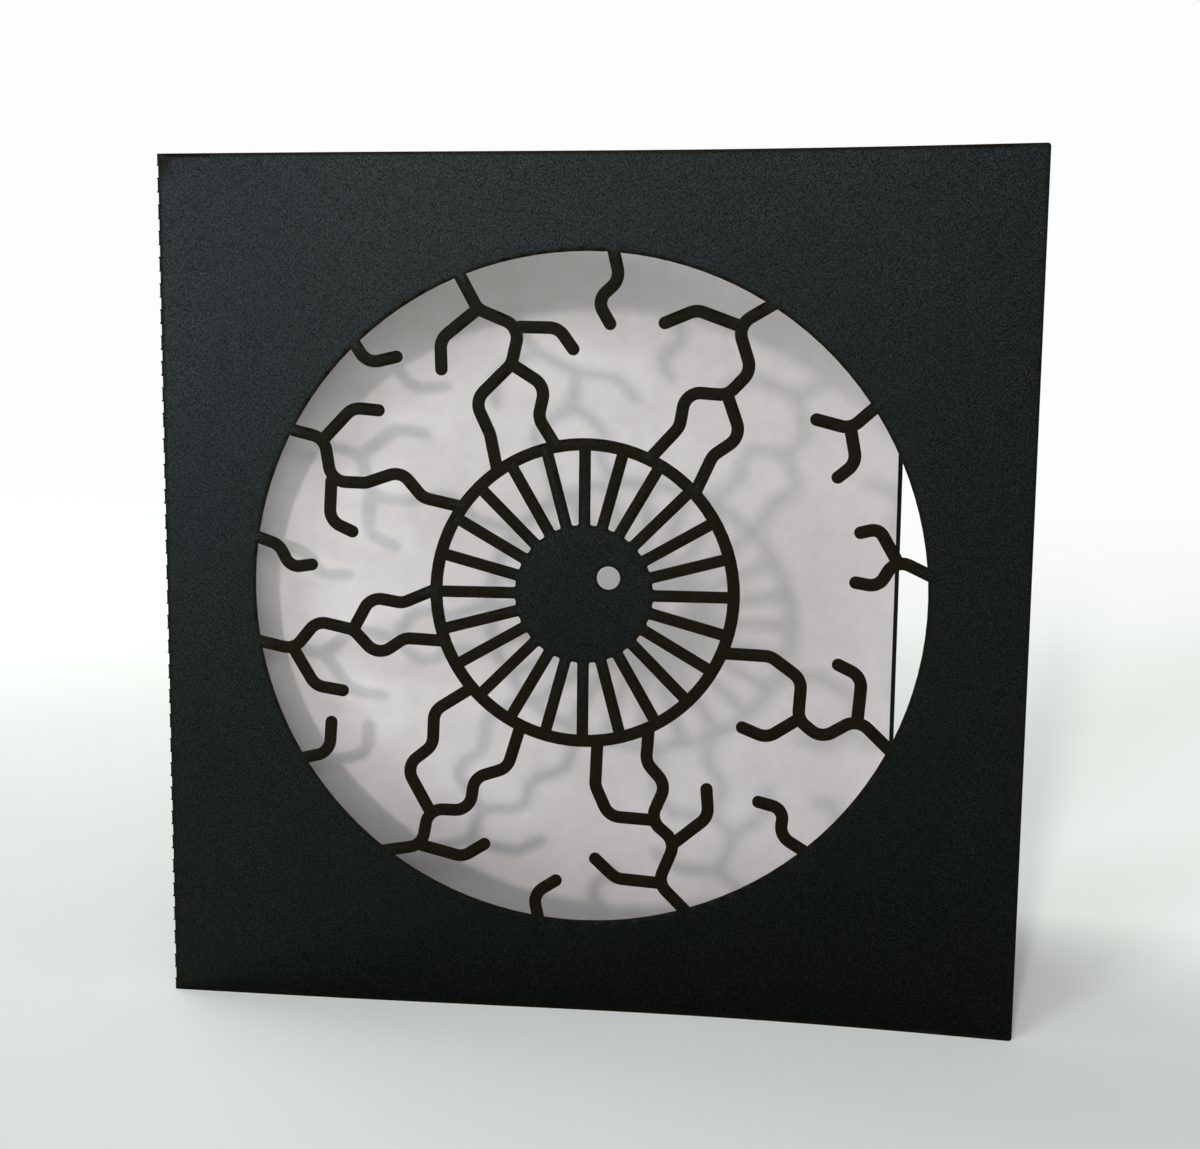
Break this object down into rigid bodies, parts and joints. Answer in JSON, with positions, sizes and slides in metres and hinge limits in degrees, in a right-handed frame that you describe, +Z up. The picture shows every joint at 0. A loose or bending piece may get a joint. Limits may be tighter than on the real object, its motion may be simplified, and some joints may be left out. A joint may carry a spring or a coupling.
{
  "type": "greeting card",
  "caption": "Square folded card of black card stock, standing a little open, with an eye cut out of a round window in its front panel and a white sheet for the greeting glued inside.",
  "frame": {"origin": "middle of the standing card's box, on the surface that it stands on", "axes": "+X along the front panel from the fold to its free edge, +Y from the front panel to the back panel, +Z up"},
  "size_m": [0.1334, 0.0602, 0.1333],
  "materials": {
    "black_card": "matte, uncoated, laser cut",
    "white_paper": "matte, uncoated"
  },
  "bodies": {
    "root": {"folded_card": "black_card", "white_insert": "white_paper"}
  },
  "joints": []
}
